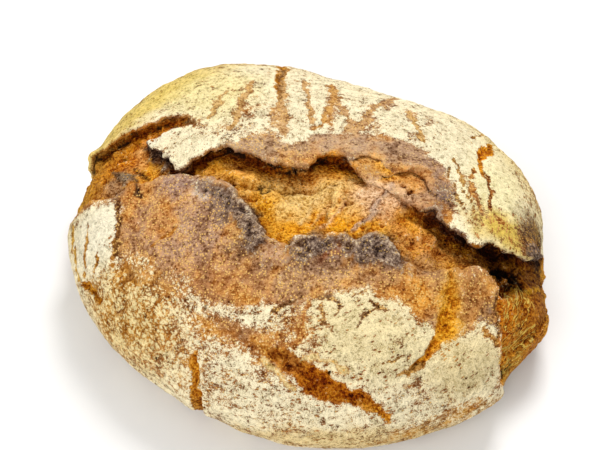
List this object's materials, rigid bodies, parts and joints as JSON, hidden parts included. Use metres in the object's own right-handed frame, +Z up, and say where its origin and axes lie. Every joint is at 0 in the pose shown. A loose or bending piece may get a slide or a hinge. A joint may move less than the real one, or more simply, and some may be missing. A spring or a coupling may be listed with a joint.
{
  "type": "rye bread loaf",
  "caption": "Uncut farmhouse rye loaf, oval and low-domed, with a long ragged tear across its floured, deeply browned crust.",
  "frame": {"origin": "middle of the outline on the flat base, where the loaf rests", "axes": "+Z up, +X along the longest side to the right, +Y to the back; the tear runs along X and its lifted flap is at +X"},
  "size_m": [0.2883, 0.2747, 0.0914],
  "materials": {
    "crust": "dull and rough: browned rye crust, charred along the torn edges, dusted with flour, with orange-brown crumb in the tear"
  },
  "bodies": {
    "root": {"loaf": "crust"}
  },
  "joints": []
}
